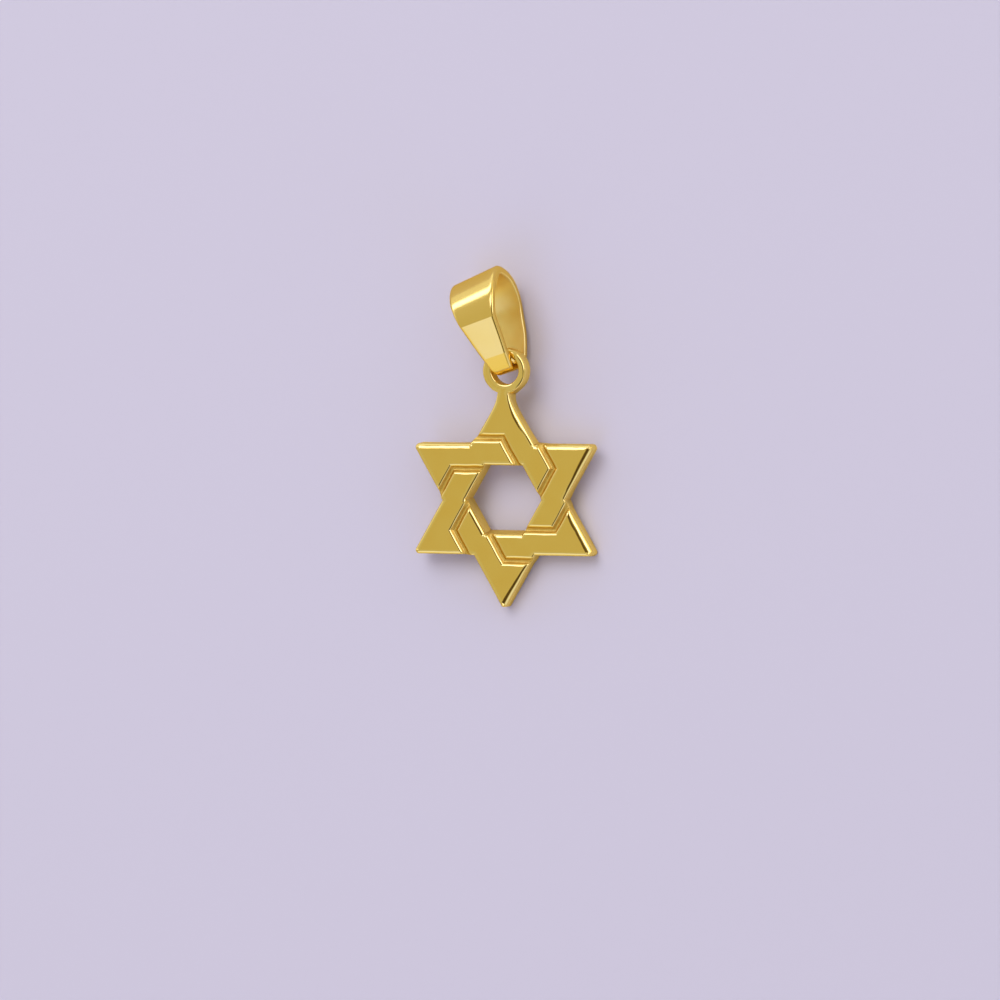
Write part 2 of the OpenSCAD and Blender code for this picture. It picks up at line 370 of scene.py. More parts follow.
@dataclass
class StarPlate:
    """The woven star with its neck and cast eye, in its own frame: face at z = 0, eye towards +Y.

    Lengths are in millimetres. Grooves are counted anticlockwise from the tip with the eye, and the
    five free tips anticlockwise from the upper left one.
    """
    # The plate, its strands and its rounded tips; the face is a little smaller than the back
    radius: float = 8.16
    thickness: float = 1.28
    strand: float = 1.59
    inset: float = 0.01
    window_inset: float = 0.04
    tip_radii: tuple[float, ...] = (0.30, 0.27, 0.24, 0.27, 0.28)
    tip_edge: float = 0.4
    # How far the strand that passes over stands out at the notch beside each free tip
    proud: tuple[float, ...] = (0.20, 0.10, 0.06, 0.04, 0.04)
    # Grooves: half width, depth, half width that keeps its cast skin and the darker tint of painted
    # shade, and where they run
    groove_reach: float = 0.39
    groove_depth: float = 0.28
    groove_cast_shade: float = 0.24
    cross_lead: float = 0.42
    side_lead: float = 0.3
    corner_run: float = 0.05
    # The eye, and the neck with flanks that curve from the tip up into it
    eye_outer: float = 3.28
    eye_bore: float = 2.10
    eye_sink: float = 0.38
    eye_offset: float = 0.07
    bore_shift: tuple[float, float] = (0.08, 0.04)
    neck: float = 0.84
    neck_top: float = 7.84
    flank: tuple[tuple[float, float], ...] = ((1.09, 6.18), (0.62, 7.0), (0.5, 7.48))
    # Widths of the rolled edges, by the way that they face and by their place; the roll at a tip is
    # added to the others, and the window's is a share of them
    roll_up: float = 0.40
    roll_right_up: float = 0.44
    roll_right_down: float = 0.27
    roll_down: float = 0.22
    roll_tip: float = 0.34
    roll_neck: float = 0.12
    roll_notch: float = 0.26
    ring_roll: float = 0.20
    bore_roll: float = 0.13
    back_roll: float = 0.10
    window_share: float = 0.75
    corner_fade: float = 1.6
    # How far the walls lean out on their way down to the back
    lean_out: float = 0.03
    window_draft: float = 0.12
    window_slant: float = 0.08
    # Spacing of the points inside the face, and the sides kept from the first call of edges()
    grid: float = 0.13
    sides: dict[str, np.ndarray] = field(default_factory=dict)

    @property
    def side_line(self) -> float:
        """Distance of the tips' side lines from the centre."""
        return self.radius / 2

    @property
    def face_line(self) -> float:
        """Distance of the side lines from the centre, at the face."""
        return self.side_line - self.inset

    @property
    def window_line(self) -> float:
        """Distance of the window's sides from the centre."""
        return self.side_line - self.strand

    @property
    def corner(self) -> float:
        """Distance of the notches from the centre, at the face."""
        return self.face_line / COS30

    @property
    def groove_end(self) -> float:
        """Place of a groove's inner end, along the strand that passes under."""
        return self.corner_run - self.window_line * TAN30

    @property
    def eye_centre(self) -> np.ndarray:
        """Centre of the eye in plan."""
        return np.array([self.eye_offset, self.radius + self.eye_outer / 2 - self.eye_sink])

    def outline(self, step: float = 0.12) -> np.ndarray:
        """Outer outline, anticlockwise from the right side of the neck.

        Args:
            step: Longest distance between neighbouring points.

        Returns:
            The points, one a row, not closed.
        """
        # Where the strand that passes over begins to stand out and how far it does so at first, and
        # the fineness of the curves
        before, after, share = 0.15, 0.1, 0.7
        tip_step, ring_step, flank_points = 0.035, 0.12, 14

        def beside(level: float, fuller: float) -> np.ndarray:
            """Point on the left side of the tip towards +Y, moved outwards."""
            return np.array([-(self.face_line + fuller - level / 2) / COS30, level])

        # The flanks curve up into the neck, with the ring between them
        eye, ring, half = self.eye_centre, self.eye_outer / 2, self.neck / 2
        right = math.degrees(math.asin((half - eye[0]) / ring))
        left = math.degrees(math.asin((half + eye[0]) / ring))
        t = np.linspace(0, 1, flank_points)[:, None]
        low, bend, high = np.array(self.flank)
        flank = (1 - t) ** 2 * low + 2 * t * (1 - t) * bend + t ** 2 * high
        path = [flank, arc_points(tuple(eye), ring, -90 + right, 270 - left, min(step, ring_step)),
                flank[::-1] * (-1, 1)]
        # The notch left of each tip, where the strand that passes over is a little proud of the tip
        # that it crosses, and then the next tip's rounded corner
        over = self.side_line + self.cross_lead
        for i, (radius, proud) in enumerate(zip(self.tip_radii, self.proud)):
            stages = ((over + before, 0.0), (over - after, share * proud), (self.face_line, proud))
            path.extend(turned(beside(level, fuller), 60 * i) for level, fuller in stages)
            turn = 150 + 60 * i
            centre = turned(np.array([2 * (self.face_line - radius), 0]), turn)
            path.append(arc_points(tuple(centre), radius, turn - 60, turn + 60, tip_step))
        path.append(turned(beside(over + before, 0.0), -60))
        path.append(turned(np.array([self.corner, 0]), 60))
        return self.split(np.vstack(path), step)

    def window(self, step: float = 0.1) -> np.ndarray:
        """Hexagonal window, with one corner on +X.

        Args:
            step: Longest distance between neighbouring points.

        Returns:
            The points in order, one a row, not closed.
        """
        far = (self.window_line + self.window_inset) / COS30
        turn = np.radians(np.arange(0, 360, 60))
        return self.split(far * np.column_stack([np.cos(turn), np.sin(turn)]), step)

    def bore(self, step: float = 0.07) -> np.ndarray:
        """Hole of the eye, as points in order."""
        return arc_points(tuple(self.eye_centre + self.bore_shift), self.eye_bore / 2, 0, 360, step)[:-1]

    @staticmethod
    def split(loop: np.ndarray, step: float) -> np.ndarray:
        """Divides the sides of a closed loop into lengths of a step at most."""
        following = np.roll(loop, -1, axis=0)
        return np.array([point for a, b in zip(loop, following) for point in stepped(a, b, step)])

    def roll_width(self, place: np.ndarray, middle: np.ndarray, out: np.ndarray, rim: Rim) -> float:
        """Width of the rolled edge at one end of a side.

        Args:
            place: End of the side.
            middle: Middle of the side.
            out: Its outward direction.
            rim: Outline that it belongs to.

        Returns:
            The width in millimetres.
        """
        on_ring, ring_least, ring_fade = 0.05, 0.3, 0.9
        right_gain, right_least, right_share = 1.3, 0.3, 0.6
        notch_reach, notch_side, notch_up, notch_share = 1.1, 0.3, 0.55, 0.4
        neck_gain = 0.19
        if rim is Rim.BORE:
            return self.bore_roll
        # The ring's roll gets narrower towards the neck
        if np.linalg.norm(middle - self.eye_centre) < self.eye_outer / 2 + on_ring:
            gap = math.dist(middle, (math.copysign(self.neck / 2, middle[0]), self.neck_top))
            return self.ring_roll * max(ring_least, min(1.0, gap / ring_fade))
        # The wheel came from above and from the right, so edges that face those ways are widest
        right = self.roll_right_up if out[1] > 0 else self.roll_right_down
        side = self.roll_down + (right - self.roll_down) * max(0.0, min(1.0, right_gain * out[0]))
        width = max(side, self.roll_down + (self.roll_up - self.roll_down) * max(0.0, out[1]) ** 2)
        if rim is Rim.WINDOW:
            return self.window_share * width
        # It hardly gets into the notches
        notch = self.side_line + notch_reach
        if np.linalg.norm(middle) < notch and math.dist(place, middle) < notch_side:
            return self.roll_notch if out[1] > notch_up else notch_share * self.roll_notch
        if out[0] > right_least and np.linalg.norm(place) < notch:
            width *= right_share
        # The slim neck was spared
        return min(width, self.roll_neck + neck_gain * max(0.0, self.radius - self.tip_edge - place[1]))

    def edges(self) -> dict[str, np.ndarray]:
        """Long straight sides and short arc chords that the rolled edges follow.

        Returns:
            Start and end point of each side, its roll's width at both of them, and the share that it
            takes of the extra width that the wheel leaves near the tips.
        """
        if self.sides:
            return self.sides
        arc_step, whole_side, top_facing, up_share = 1.0, 9.0, 0.9, 0.4
        starts, ends, widths, extras = [], [], [], []
        for loop, rim in ((self.outline(arc_step), Rim.OUTER), (self.window(whole_side), Rim.WINDOW),
                          (self.bore(), Rim.BORE)):
            sense = 1 if rim is Rim.OUTER else -1
            for a, b in zip(loop, np.roll(loop, -1, axis=0)):
                out = sense * right_of(a, b)
                starts.append(a)
                ends.append(b)
                widths.append([self.roll_width(place, (a + b) / 2, out, rim) for place in (a, b)])
                below = rim is Rim.OUTER and out[1] < top_facing and (a + b)[1] / 2 < self.side_line
                extras.append(max(0.0, out[0]) * (up_share if out[1] > 0 else 1.0) if below else 0.0)
        self.sides = {"start": np.array(starts), "end": np.array(ends), "width": np.array(widths),
                      "extra": np.array(extras)}
        return self.sides

    def along_sides(self, points: np.ndarray) -> tuple[np.ndarray, np.ndarray, np.ndarray]:
        """Where points lie against the sides, a row for each point and a column for each side.

        Args:
            points: Plan positions, one a row.

        Returns:
            Share of the way along the side, how far past its ends, and distance from it.
        """
        sides = self.edges()
        span = sides["end"] - sides["start"]
        square = (span ** 2).sum(1)
        rel = points[:, None, :] - sides["start"][None]
        raw = (rel * span[None]).sum(2) / square
        share = np.clip(raw, 0, 1)
        past = np.abs(raw - share) * np.sqrt(square)[None]
        return share, past, np.linalg.norm(rel - share[..., None] * span[None], axis=2)

    def edge_distance(self, points: np.ndarray) -> np.ndarray:
        """Distance from plan points to the nearest outline."""
        return self.along_sides(points)[2].min(1)

    def groove_table(self) -> tuple[np.ndarray, np.ndarray]:
        """Cross-section of a groove, the same on both sides of its middle.

        Returns:
            Distances across it, rising towards the tip, and the heights there.
        """
        across, fall = tilt_profile([(share * self.groove_reach, tilt) for share, tilt in GROOVE_FLANK])
        return np.concatenate([across, -across[-2::-1]]), np.concatenate([-fall, -fall[-2::-1]])

    def groove_place(self, points: np.ndarray, index: int) -> tuple[np.ndarray, np.ndarray]:
        """Where points lie against one of the six grooves.

        Args:
            points: Plan positions, one a row.
            index: Number of the tip, anticlockwise from the one with the eye.

        Returns:
            Distance across the groove, and distance still to go along it before its end.
        """
        x, y = turned(points, -60 * index).T
        cross = y - self.side_line - self.cross_lead
        along = x * COS30 + y * SIN30 - self.window_line + self.side_lead
        # A groove also ends just outside the star, or its line would cut the ring further on
        overrun = 1.0
        left = np.minimum(self.groove_end - (x * SIN30 - y * COS30), x + self.side_line + overrun)
        return np.maximum(cross, along), left

    def groove_height(self, points: np.ndarray) -> np.ndarray:
        """Height that the six grooves give the face; they are cut by hand and so a little wavy.

        Args:
            points: Plan positions, one a row.

        Returns:
            Heights at or below zero.
        """
        wobble, period, seed = 0.018, 1.7, 40
        places, levels = self.groove_table()
        deepest = np.zeros(len(points))
        for i in range(6):
            across, left = self.groove_place(points, i)
            wavy = across + wobble * wander(points, period, seed + i)
            height = np.interp(wavy, places, levels, left=0.0, right=0.0)
            deepest = np.minimum(deepest, np.where(left > 0, height, 0.0))
        return deepest

    def heights(self, points: np.ndarray) -> np.ndarray:
        """Height of the face at plan points, with its rolled edges and grooves.

        Args:
            points: Plan positions in millimetres, one a row.

        Returns:
            Heights at or below zero.
        """
        return in_chunks(self.some_heights, points)

    def some_heights(self, points: np.ndarray) -> np.ndarray:
        """Heights of as many points as the memory takes at once.

        Args:
            points: Plan positions in millimetres, one a row.

        Returns:
            Heights at or below zero.
        """
        # Size, period in millimetres and seed of the waves in the rolls' widths
        waves = ((0.08, 2.6, 7), (0.02, 0.9, 8))
        tip_reach, groove_share = 2.2, 0.6
        sides = self.edges()
        share, past, distance = self.along_sides(points)
        # Past the end of a side its roll dies away quickly, so the corners stay crisp
        distance = distance + self.corner_fade * past
        uneven = sum((size * wander(points, period, seed) for size, period, seed in waves), 1)
        tip = np.exp(-((self.radius - self.tip_edge - np.linalg.norm(points, axis=1)) / tip_reach) ** 2)
        first, last = sides["width"].T
        width = ((first + (last - first) * share) * uneven[:, None]
                 + self.roll_tip * tip[:, None] * sides["extra"][None])
        groove = self.groove_height(points)
        # A roll that runs into a groove is lost in it
        kept = 1 - groove_share * np.clip(-groove / self.groove_depth, 0, 1)
        return groove + rolled_edge(distance, width).min(1) * kept

    @staticmethod
    def inside(points: np.ndarray, loop: np.ndarray) -> np.ndarray:
        """Tells which points lie inside a closed loop, by counting crossings.

        Args:
            points: Plan positions, one a row.
            loop: Corners of the loop, one a row.

        Returns:
            True for each point inside.
        """
        a, b = loop, np.roll(loop, -1, axis=0)
        x, y = points[:, :1], points[:, 1:2]
        spans = (a[None, :, 1] > y) != (b[None, :, 1] > y)
        rise = np.where(np.abs(b[:, 1] - a[:, 1]) < TINY, TINY, b[:, 1] - a[:, 1])
        cross = a[None, :, 0] + (y - a[None, :, 1]) * (b[:, 0] - a[:, 0])[None] / rise[None]
        return (spans & (x < cross)).sum(1) % 2 == 1

    def in_metal(self, points: np.ndarray) -> np.ndarray:
        """Tells which plan points lie in the metal."""
        outer, *holes = self.outline(), self.window(), self.bore()
        return in_chunks(lambda part: self.inside(part, outer)
                         & ~np.any([self.inside(part, hole) for hole in holes], axis=0), points)

    def triangulate(self) -> tuple[np.ndarray, np.ndarray]:
        """Divides the plan of the plate into triangles that follow its rolls and grooves.

        Returns:
            Plan points and the three point numbers of each triangle, anticlockwise.
        """
        row_share, clear_share, merge, smallest = 0.87, 0.55, 1e-6, 1e-9
        loops = [self.outline(), self.window(), self.bore()]
        points = np.vstack(loops)
        segments: list[tuple[int, int]] = []
        start = 0
        for loop in loops:
            count = len(loop)
            segments += [(start + k, start + (k + 1) % count) for k in range(count)]
            start += count
        extra = [self.band_points(loop, sense) for loop, sense in zip(loops, (1, -1, -1))]
        # The mesh has edges along each groove, at these shares of its half width on either side
        shares = (1.0, 0.87, 0.73, 0.6, 0.47, 0.34, 0.21, 0.1, 0.03)
        for i in range(6):
            for across in [sign * share * self.groove_reach for share in shares for sign in (-1, 1)]:
                path = self.groove_line(across, i)
                number = start + sum(len(e) for e in extra)
                segments += [(number + k, number + k + 1) for k in range(len(path) - 1)]
                extra.append(path)
        reach = self.radius + self.eye_outer
        rows = np.arange(-reach, reach + self.eye_outer, self.grid * row_share)
        cols = np.arange(-reach, reach, self.grid)
        lattice = np.array([(x + (k % 2) * self.grid / 2, y) for k, y in enumerate(rows) for x in cols])
        lattice = lattice[self.in_metal(lattice)]
        taken = np.vstack([points, *extra])
        keep = self.spacing(lattice, taken) > self.grid * clear_share
        points = np.vstack([taken, lattice[keep]])
        plan, _, cells, *_ = delaunay_2d_cdt([Vector(p) for p in points.tolist()], segments, [], 0, merge)
        plan = np.array([tuple(p) for p in plan])
        cells = np.array([c for c in cells if len(c) == 3])
        middle = plan[cells].mean(1)
        a, b, c = (plan[cells[:, k]] for k in range(3))
        area = (b[:, 0] - a[:, 0]) * (c[:, 1] - a[:, 1]) - (b[:, 1] - a[:, 1]) * (c[:, 0] - a[:, 0])
        cells[area < 0] = cells[area < 0][:, ::-1]
        return plan, cells[self.in_metal(middle) & (np.abs(area) > smallest)]

    @staticmethod
    def spacing(points: np.ndarray, others: np.ndarray) -> np.ndarray:
        """Distance from each point to the nearest of the others, found through square cells.

        Args:
            points: Points to measure from, one a row.
            others: Points to measure to.

        Returns:
            The distances, and a far one where nothing is near.
        """
        size, far = 0.12, 1.0
        cells: dict[tuple[int, int], list[int]] = {}
        for k, (x, y) in enumerate(others):
            cells.setdefault((math.floor(x / size), math.floor(y / size)), []).append(k)
        near = np.full(len(points), far)
        for k, (x, y) in enumerate(points):
            i, j = math.floor(x / size), math.floor(y / size)
            around = [n for di in (-1, 0, 1) for dj in (-1, 0, 1) for n in cells.get((i + di, j + dj), ())]
            if around:
                near[k] = np.sqrt(((others[around] - (x, y)) ** 2).sum(1).min())
        return near

    def band_points(self, loop: np.ndarray, sense: int) -> np.ndarray:
        """Rows of points just inside an outline, closer together where the roll is steep.

        Args:
            loop: The outline.
            sense: 1 where the metal is inside the loop, -1 where it is outside.

        Returns:
            Plan points that lie in the metal, one a row.
        """
        depths, clear_share = (0.012, 0.035, 0.07, 0.12, 0.18, 0.25, 0.34, 0.44), 0.93
        following = np.roll(loop, -1, axis=0)
        inward = -sense * right_of(loop, following)
        rows = []
        for depth in depths:
            row = (loop + following) / 2 + inward * depth
            row = row[self.in_metal(row)]
            rows.append(row[self.edge_distance(row) > depth * clear_share])
        return np.vstack(rows)

    def groove_line(self, across: float, index: int, step: float = 0.09) -> np.ndarray:
        """Bent line at a fixed distance across a groove.

        Args:
            across: Distance from the groove's middle, rising towards the tip.
            index: Number of the tip.
            step: Distance between the line's points.

        Returns:
            Points from beyond the outline to the groove's end.
        """
        beyond = 0.06
        level = self.side_line + self.cross_lead + across
        line = self.window_line - self.side_lead + across
        bend = np.array([(line - level * SIN30) / COS30, level])
        outside = np.array([-(self.face_line - level * SIN30) / COS30 - beyond, level])
        stop = np.array([line * COS30 + self.groove_end * SIN30, line * SIN30 - self.groove_end * COS30])
        return turned(np.array([*stepped(outside, bend, step), *stepped(bend, stop, step), stop]), 60 * index)

    def slopes(self, points: np.ndarray) -> np.ndarray:
        """Upward normals of the face.

        Args:
            points: Plan positions, one a row.

        Returns:
            Unit normals, one a row.
        """
        nudge = 2e-3
        dx, dy = (self.heights(points + way) - self.heights(points - way) for way in nudge * np.eye(2))
        normal = np.column_stack([-dx / (2 * nudge), -dy / (2 * nudge), np.ones(len(points))])
        return normal / np.linalg.norm(normal, axis=1)[:, None]

    def draft(self, point: np.ndarray, way: np.ndarray) -> float:
        """How far a wall leans out on its way down to the back.

        Args:
            point: Point of an outline.
            way: Direction that the wall faces there.

        Returns:
            The lean in millimetres.
        """
        saw_way, in_ring = np.array([0.5, 0.866]), 0.1
        notch_lean, notch_span, neck_lean, neck_span, neck_foot = 0.06, 0.6, 0.14, 0.45, 7.74
        reach = float(np.linalg.norm(point))
        if reach < self.side_line - self.strand / 2:
            # The saw went in aslant, so the window's walls that face up and right lean out most
            aslant = float(way @ saw_way / np.linalg.norm(way))
            return self.window_draft + self.window_slant * aslant + self.window_inset
        if np.linalg.norm(point - self.eye_centre) < self.eye_outer / 2 - in_ring:
            return 0.0
        nearest = math.radians(60 * round(math.degrees(math.atan2(point[1], point[0])) / 60))
        gap = math.dist(point, (self.corner * math.cos(nearest), self.corner * math.sin(nearest)))
        # Casting and buffing leave the notches and the neck fuller at the back
        fuller = notch_lean * math.exp(-(gap / notch_span) ** 2) if reach > self.side_line else 0.0
        side = math.dist(point, (math.copysign(self.neck / 2, point[0]), neck_foot))
        return self.lean_out + fuller + neck_lean * math.exp(-(side / neck_span) ** 2)

    def surface_of(self, middles: np.ndarray) -> np.ndarray:
        """Which surface each triangle of the face belongs to.

        Args:
            middles: Middles of the triangles, one a row.

        Returns:
            Their material indices.
        """
        burnished_highlight_width = 0.3
        kind = np.full(len(middles), PlateSurface.BUFFED.value)
        # Near the outlines and on the grooves' flanks goes the paler tint of painted highlight
        kind[self.edge_distance(middles) < burnished_highlight_width] = PlateSurface.BURNISHED_PAINTED_HIGHLIGHT.value
        for i in range(6):
            across, left = self.groove_place(middles, i)
            kind[(left > 0) & (np.abs(across) < self.groove_reach)] = PlateSurface.BURNISHED_PAINTED_HIGHLIGHT.value
            # The groove floors take the darker tint of painted shade
            kind[(left > 0) & (np.abs(across) < self.groove_cast_shade)] = PlateSurface.AS_CAST_PAINTED_SHADE.value
        return kind

    def build(self, pose: "RestPose") -> bpy.types.Object:
        """Builds the whole plate: face, sides and back.

        Args:
            pose: Where the plate lies.

        Returns:
            The finished piece.
        """
        # How near a triangle's corners its normals are taken, the sharpest turn that the back's rim
        # follows in full, and the cosine of the largest one that the sides are shaded smoothly over
        pull, sharpest, smooth = 0.1, 2.0, 0.93
        plan, cells = self.triangulate()
        corners = plan[cells]
        middle = corners.mean(1)
        probe = (corners * (1 - pull) + middle[:, None] * pull).reshape(-1, 2)
        count = len(plan)
        # The rim is every edge that only one triangle has, and each of its points faces outwards
        pairs = np.vstack([cells[:, [0, 1]], cells[:, [1, 2]], cells[:, [2, 0]]])
        keys = {tuple(p) for p in pairs.tolist()}
        rim = np.array(sorted(p for p in keys if (p[1], p[0]) not in keys))
        out = right_of(plan[rim[:, 0]], plan[rim[:, 1]])
        facing: dict[int, np.ndarray] = {}
        for pair, way in zip(rim.tolist(), out):
            for v in pair:
                facing[v] = facing.get(v, 0) + way
        # Back: the face's triangles turned over, with a slim rolled edge and its rim moved outwards
        top = np.column_stack([plan, self.heights(plan)])
        rise = np.maximum(0, self.back_roll - self.edge_distance(plan))
        back = np.column_stack([plan, -self.thickness + rise])
        for v, way in facing.items():
            back[v, :2] += way * 2 / max(way @ way, sharpest) * self.draft(plan[v], way)
        faces = cells.tolist() + (cells[:, ::-1] + count).tolist()
        # The back shares the sides' finish, with its lighter tint of painted light
        surfaces = self.surface_of(middle).tolist() + [PlateSurface.FILED_PAINTED_LIGHT.value] * len(cells)
        # Sides: each outline edge drops from the face to the back, turning from the roll's steep end to
        # upright on the way
        tilts, drops = np.radians([66, 78, 85, 90]), (0.25, 0.6)
        last = len(tilts) - 1
        used = np.unique(rim)
        column = {int(v): k for k, v in enumerate(used)}
        points = np.vstack([top, back, *(top[used] * (1 - drop) + back[used] * drop for drop in drops)])

        def at(vertex: int, level: int) -> int:
            """Number of a side's vertex.

            Args:
                vertex: Number of the face's vertex above it.
                level: Level of the side, from 0 at the face.

            Returns:
                The vertex number in the mesh.
            """
            if level in (0, last):
                return vertex + count * (level == last)
            return 2 * count + (level - 1) * len(used) + column[vertex]

        side_normals = []
        for (a, b), way in zip(rim.tolist(), out):
            soft = {}
            for v in (a, b):
                mean = facing[v] / np.linalg.norm(facing[v])
                soft[v] = mean if mean @ way > smooth else way
            for level in range(last):
                quad = ((b, level), (a, level), (a, level + 1), (b, level + 1))
                faces.append([at(*corner) for corner in quad])
                # Each side takes the lighter tint of painted light
                surfaces.append(PlateSurface.FILED_PAINTED_LIGHT.value)
                side_normals += [[*(soft[v] * math.sin(tilts[low])), math.cos(tilts[low])] for v, low in quad]
        normals = [self.slopes(probe), np.tile([0.0, 0.0, -1.0], (3 * len(cells), 1)), side_normals]
        return mesh_object("star_plate", pose.place(points), faces, surfaces, pose.turn(np.vstack(normals)),
                           [BUFFED_FACE, BURNISHED_EDGE_PAINTED_HIGHLIGHT, CAST_GROOVE_PAINTED_SHADE, FILED_SIDE_PAINTED_LIGHT])


@dataclass
class Bail:
    """The tapered strap loop, on its own axes: X across the strap, Y up the loop, Z out of the front.

    Lengths are in millimetres. Places on the loop's outline are depth and height: the crease, the fold
    and the belly are corners of it, and the toe and the heel are a reach and a radius.
    """
    height: float = 7.55
    width: float = 3.58
    foot_width: float = 1.48
    strap: float = 0.5
    crown: float = 1.3
    crease: tuple[float, float] = (2.45, 4.2)
    fold: tuple[float, float] = (1.47, 1.45)
    belly: tuple[float, float] = (2.85, 4.1)
    toe: tuple[float, float] = (1.18, 1.0)
    heel: tuple[float, float] = (2.05, 1.2)
    fillet: float = 0.2
    inner_fillet: float = 0.04
    inner_belly: float = 1.4
    # Share of the widening from the foot to the full width, at shares of the height
    taper: tuple[tuple[float, float], ...] = (
        (0.0, 0.0), (0.18, 0.24), (0.34, 0.45), (0.55, 0.68), (0.68, 0.9), (0.81, 1.04), (0.92, 1.08),
        (1.0, 1.08))
    # Rolled edges of the strap, outside and inside
    edge_roll: float = 0.24
    edge_drop: float = 0.17
    inner_roll: float = 0.08
    # Handwork: the crown leans back, is wider on the left and thicker, and is a little askew, and the
    # back of the strap sits to the right below the belly
    crown_back: float = 0.25
    crown_flare: float = 0.15
    crown_thick: float = 0.3
    crown_foot: float = 4.6
    crown_rise: float = 3.0
    skew: float = 0.09
    skew_from: float = 0.45
    back_shift: float = 0.18
    shift_height: float = 2.0
    shift_span: float = 1.7

    def side(self, depth: float, height: float) -> tuple[float, float]:
        """Arc up one side of the loop to the crown, which it meets smoothly.

        Args:
            depth: Depth that it starts at.
            height: Height that it starts at.

        Returns:
            Radius, and sweep in degrees.
        """
        rise = self.height - self.crown - height
        radius = (self.crown ** 2 - depth ** 2 - rise ** 2) / (2 * (self.crown - depth))
        return radius, math.degrees(math.atan2(rise, radius - depth))

    @staticmethod
    def touch(reach: float, radius: float, point: tuple[float, float]) -> float:
        """Slope of the line from a corner of the outline to the foot circle that it touches.

        Args:
            reach: Depth that the circle reaches out to.
            radius: Its radius.
            point: The corner, as depth and height.

        Returns:
            The slope in degrees.
        """
        dx, dy = point[0] - reach + radius, point[1] - radius
        return math.degrees(math.acos(radius / math.hypot(dx, dy)) - math.atan2(dy, dx))

    def arcs(self, inset: float, fillet: float,
             belly: float) -> list[tuple[tuple[float, float], float, float, float]]:
        """Arcs of the loop's outline, up the front and down the back, joined by straight runs.

        Args:
            inset: Distance in from the outside of the strap.
            fillet: Radius of the fold and of the crease.
            belly: Radius of the belly's corner.

        Returns:
            Centre, radius and the two angles of each arc, as depth and height.
        """
        deep = inset + fillet
        front, front_sweep = self.side(*self.crease)
        back, back_sweep = self.side(*self.belly)
        facet = math.degrees(math.atan2(self.crease[0] - self.fold[0], self.crease[1] - self.fold[1]))
        toe = self.touch(self.toe[0], self.toe[1], self.fold)
        heel = self.touch(self.heel[0], self.heel[1], self.belly)
        half = math.radians((facet + toe) / 2)
        bend = deep / math.cos(math.radians((toe - facet) / 2))
        fold = (self.fold[0] - bend * math.cos(half), self.fold[1] + bend * math.sin(half))
        low = inset + belly

        def corner(radius: float, slope: float, deep: float) -> float:
            """Angle at which a side arc leaves its lower corner's fillet."""
            return math.degrees(math.asin(deep * math.tan(math.radians(slope / 2)) / (radius - deep)))

        def along(centre: tuple[float, float], radius: float, turn: float) -> tuple[float, float]:
            """Point at a radius and an angle from a centre."""
            return (centre[0] + radius * math.cos(math.radians(turn)),
                    centre[1] + radius * math.sin(math.radians(turn)))

        a, b = corner(front, facet, deep), corner(back, heel, low)
        front_centre = (self.crease[0] - front, self.crease[1])
        back_centre = (back - self.belly[0], self.belly[1])
        return [
            ((self.toe[0] - self.toe[1], self.toe[1]), self.toe[1] - inset, -90, -toe),
            (fold, fillet, -toe, -facet),
            (along(front_centre, front - deep, a), fillet, -facet, a),
            (front_centre, front - inset, a, front_sweep),
            ((0, self.height - self.crown), self.crown - inset, front_sweep, 180 - back_sweep),
            (back_centre, back - inset, 180 - back_sweep, 180 - b),
            (along(back_centre, back - low, 180 - b), belly, 180 - b, 180 + heel),
            ((self.heel[1] - self.heel[0], self.heel[1]), self.heel[1] - inset, 180 + heel, 270),
        ]

    def trace(self, inset: float, fillet: float, belly: float) -> np.ndarray:
        """Points round the loop, in the same number for any inset.

        Args:
            inset: Distance in from the outside of the strap.
            fillet: Radius of the fold and of the crease.
            belly: Radius of the belly's corner.

        Returns:
            Points as depth and height, one a row.
        """
        arc_steps = (24, 6, 7, 44, 22, 48, 6, 26)
        run_steps = (7, 22, 0, 0, 0, 0, 18, 8)
        points: list[np.ndarray] = []
        first: np.ndarray | None = None
        arcs = self.arcs(inset, fillet, belly)
        for (centre, radius, start, end), count, before in zip(arcs, arc_steps, (0, *run_steps[:-1])):
            turn = np.radians(np.linspace(start, end, count))
            here = np.array(centre) + radius * np.column_stack([np.cos(turn), np.sin(turn)])
            if first is None:
                first = here[0]
            else:
                points += self.run(points[-1], here[0], before)
                here = here if before else here[1:]
            points += list(here)
        return np.array(points + self.run(points[-1], first, run_steps[-1]))

    @staticmethod
    def run(start: np.ndarray, end: np.ndarray, count: int) -> list[np.ndarray]:
        """Points of a straight run, without its two ends."""
        return [start + (end - start) * k / (count + 1) for k in range(1, count + 1)]

    def half_width(self, height: float) -> float:
        """Half of the strap's width at a height on the loop."""
        share = np.interp(height / self.height, [t[0] for t in self.taper], [t[1] for t in self.taper])
        return (self.foot_width + (self.width - self.foot_width) * share) / 2

    def section(self) -> list[tuple[float, float | None, float]]:
        """Cross-section of the strap, round from the left of the outside.

        Returns:
            For each point, the share of the half width, the distance in from the edge or None on the
            flat, and the depth below the outer skin.
        """
        edge_points, inner_points, flat_parts = 9, 5, 8
        right: list[tuple[float, float | None, float]] = []
        for t in np.radians(np.linspace(90, 0, edge_points)):
            right.append((1, self.edge_roll * (1 - math.cos(t)), self.edge_drop * (1 - math.sin(t))))
        right.append((1, 0.0, (self.edge_drop + self.strap - self.inner_roll) / 2))
        for t in np.radians(np.linspace(0, 90, inner_points)):
            depth = self.strap - self.inner_roll * (1 - math.sin(t))
            right.append((1, self.inner_roll * (1 - math.cos(t)), depth))
        flat = [k / flat_parts for k in range(1 - flat_parts, flat_parts)]
        outer = [(share, None, 0.0) for share in flat]
        inner = [(share, None, self.strap) for share in flat[::-1]]
        return outer + right + inner + [(-share, inward, depth) for share, inward, depth in right[::-1]]

